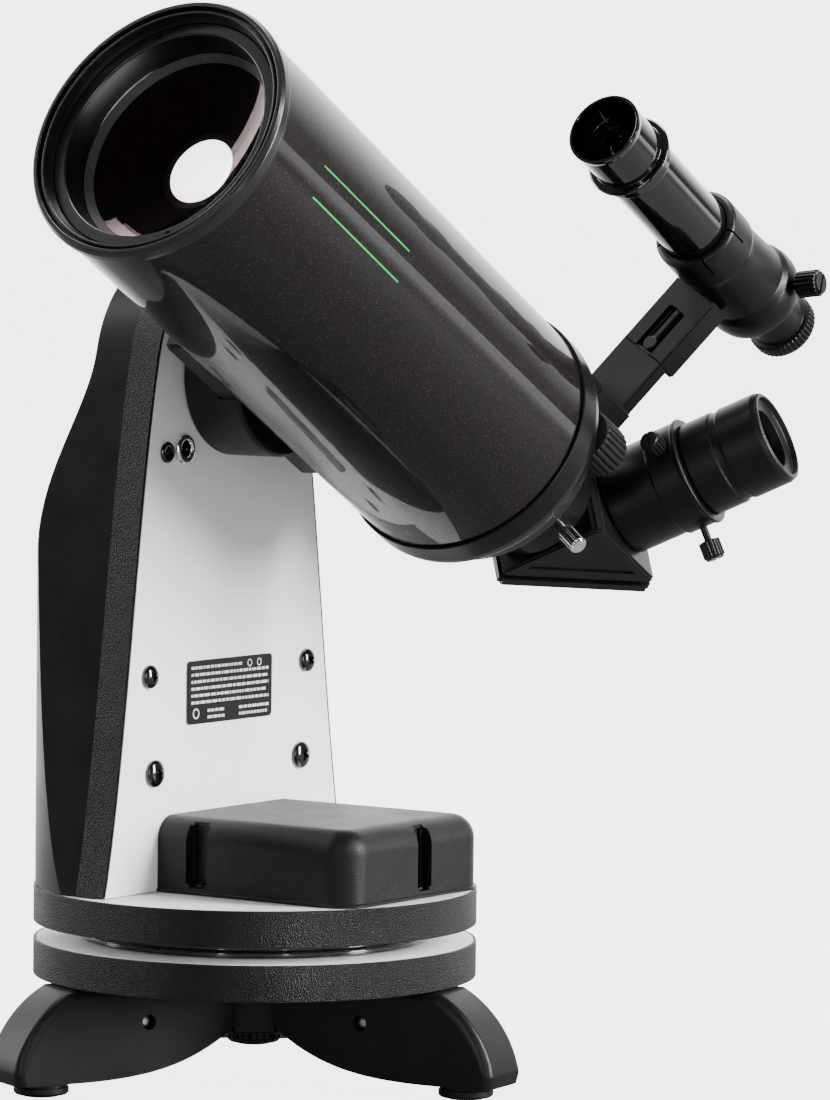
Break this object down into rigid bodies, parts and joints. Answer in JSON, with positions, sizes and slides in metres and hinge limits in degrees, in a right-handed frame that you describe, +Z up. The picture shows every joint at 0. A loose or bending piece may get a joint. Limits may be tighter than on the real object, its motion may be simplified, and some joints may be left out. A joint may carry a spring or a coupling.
{
  "type": "maksutov telescope",
  "caption": "Table-top Maksutov telescope on a round single-arm motorised mount, with finder scope, star diagonal and eyepiece.",
  "frame": {"origin": "middle of the bounding box, on the surface that the three feet stand on", "axes": "+Z up along the azimuth axis; the tube looks towards -Y and up; the arm is on the -X side and the altitude axis runs along X"},
  "size_m": [0.2116, 0.3254, 0.3604],
  "materials": {
    "laminate": "satin white melamine laminate",
    "edging": "pebbled black edge banding",
    "plastic": "satin moulded black plastic",
    "rubber": "matt black rubber",
    "tube_paint": "dark metallic flake under gloss clear coat",
    "anodised": "satin black",
    "chrome": "bright plated",
    "steel": "plain",
    "brass": "turned",
    "acetal": "smooth slick plastic",
    "glass": "coated, faint red reflections",
    "mirror": "aluminised",
    "label": "printed foil label",
    "circuit": "green solder mask",
    "battery": "printed sleeves"
  },
  "bodies": {
    "base": {"base_board": "laminate", "base_board_band": "edging", "azimuth_bearing": "acetal", "leg_hub": "plastic", "azimuth_bolt": "steel", "azimuth_gear": "acetal", "leg_1": "plastic", "leg_2": "plastic", "leg_3": "plastic", "foot_1": "rubber", "foot_2": "rubber", "foot_3": "rubber"},
    "platform": {"turntable_board": "laminate", "turntable_band": "edging", "battery_cover": "plastic", "battery_pack": "battery", "azimuth_motor": "steel", "control_board": "circuit", "altitude_motor": "steel", "arm_board": "laminate", "arm_band": "edging", "arm_housing": "plastic", "panel_screw_1": "plastic", "panel_screw_2": "plastic", "panel_screw_3": "plastic", "panel_screw_4": "plastic", "label_plate": "label", "power_jack": "chrome", "rubber_plug": "rubber"},
    "azimuth_pinion": {"azimuth_pinion": "brass"},
    "altitude_pinion": {"altitude_pinion": "brass"},
    "optical_tube": {"altitude_gear": "acetal", "altitude_hub": "plastic", "dovetail_bar": "anodised", "telescope_tube": "tube_paint", "front_cell": "anodised", "retaining_ring": "anodised", "meniscus_lens": "glass", "secondary_baffle": "plastic", "rear_cell": "anodised", "primary_baffle": "plastic", "visual_back": "anodised", "finder_bracket": "plastic", "finder_tube": "anodised", "finder_lens": "glass"},
    "primary_mirror": {"primary_mirror": "mirror"},
    "focus_knob": {"focus_knob": "rubber"},
    "clamp_knob": {"clamp_knob": "plastic"},
    "visual_back_screw": {"visual_back_screw": "chrome"},
    "finder_screw_1": {"finder_screw_1": "plastic"},
    "finder_screw_2": {"finder_screw_2": "plastic"},
    "finder_eyepiece": {"finder_eyepiece": "plastic"},
    "diagonal": {"diagonal_body": "plastic", "diagonal_mirror": "mirror", "diagonal_back_cover": "plastic", "eyepiece_holder": "anodised"},
    "holder_screw_1": {"holder_screw_1": "plastic"},
    "holder_screw_2": {"holder_screw_2": "plastic"},
    "eyepiece": {"eyepiece_body": "plastic", "eyepiece_lens": "glass"}
  },
  "joints": [
    {"name": "azimuth", "type": "hinge", "parent": "base", "child": "platform", "pos_m": [-0.03082, -0.00516, 0], "axis": [0, 0, 1], "continuous": true},
    {"name": "altitude", "type": "hinge", "parent": "platform", "child": "optical_tube", "pos_m": [-0.03082, -0.00516, 0.2392], "axis": [-1, 0, 0], "range_deg": [-34.75, 60.25]},
    {"name": "diagonal_turn", "type": "hinge", "parent": "optical_tube", "child": "diagonal", "pos_m": [0.02588, 0.09853, 0.18443], "axis": [0, 0.8682, -0.4962], "range_deg": [-30, 120]},
    {"name": "eyepiece_slide", "type": "slide", "parent": "diagonal", "child": "eyepiece", "axis": [0.878, 0.2375, 0.4156], "range_m": [0, 0.026]},
    {"name": "azimuth_pinion_spin", "type": "hinge", "parent": "platform", "child": "azimuth_pinion", "pos_m": [-0.01878, -0.02601, 0], "axis": [0, 0, 1], "continuous": true},
    {"name": "altitude_pinion_spin", "type": "hinge", "parent": "platform", "child": "altitude_pinion", "pos_m": [-0.03082, -0.00516, 0.21513], "axis": [-1, 0, 0], "range_deg": [-242, 140]},
    {"name": "focus_turn", "type": "hinge", "parent": "optical_tube", "child": "focus_knob", "pos_m": [0.05579, -0.13405, 0.3317], "axis": [0, 0.8682, -0.4962], "range_deg": [-1085, 1085]},
    {"name": "mirror_slide", "type": "slide", "parent": "optical_tube", "child": "primary_mirror", "axis": [0, 0.8682, -0.4962], "range_m": [-0.003, 0.003]},
    {"name": "clamp_turn", "type": "hinge", "parent": "optical_tube", "child": "clamp_knob", "pos_m": [-0.02412, -0.00516, 0.2392], "axis": [0, 0.4962, 0.8682], "range_deg": [0, 720]},
    {"name": "visual_back_screw_turn", "type": "hinge", "parent": "optical_tube", "child": "visual_back_screw", "pos_m": [0.02588, 0.07335, 0.19882], "axis": [0.809, -0.2917, -0.5103], "range_deg": [0, 720]},
    {"name": "finder_screw_turn_1", "type": "hinge", "parent": "optical_tube", "child": "finder_screw_1", "pos_m": [0.07758, 0.13341, 0.26763], "axis": [0.9903, 0.0691, 0.1208], "range_deg": [0, 720]},
    {"name": "finder_screw_turn_2", "type": "hinge", "parent": "optical_tube", "child": "finder_screw_2", "pos_m": [0.07758, 0.13341, 0.26763], "axis": [-0.6157, 0.391, 0.6841], "range_deg": [0, 720]},
    {"name": "finder_focus", "type": "hinge", "parent": "optical_tube", "child": "finder_eyepiece", "pos_m": [0.07758, -0.09579, 0.39863], "axis": [0, 0.8682, -0.4962], "range_deg": [-360, 360]},
    {"name": "holder_screw_turn_1", "type": "hinge", "parent": "diagonal", "child": "holder_screw_1", "pos_m": [0.06627, 0.10945, 0.20355], "axis": [-0.0167, -0.8525, 0.5225], "range_deg": [0, 720]},
    {"name": "holder_screw_turn_2", "type": "hinge", "parent": "diagonal", "child": "holder_screw_2", "pos_m": [0.06627, 0.10945, 0.20355], "axis": [0.4227, 0.0229, -0.906], "range_deg": [0, 720]}
  ],
  "couplings": [
    {"joint": "azimuth_pinion_spin", "follows": "azimuth", "ratio": 4},
    {"joint": "altitude_pinion_spin", "follows": "altitude", "ratio": -4},
    {"joint": "focus_turn", "follows": "mirror_slide", "rad_per_m": 6283.2}
  ]
}
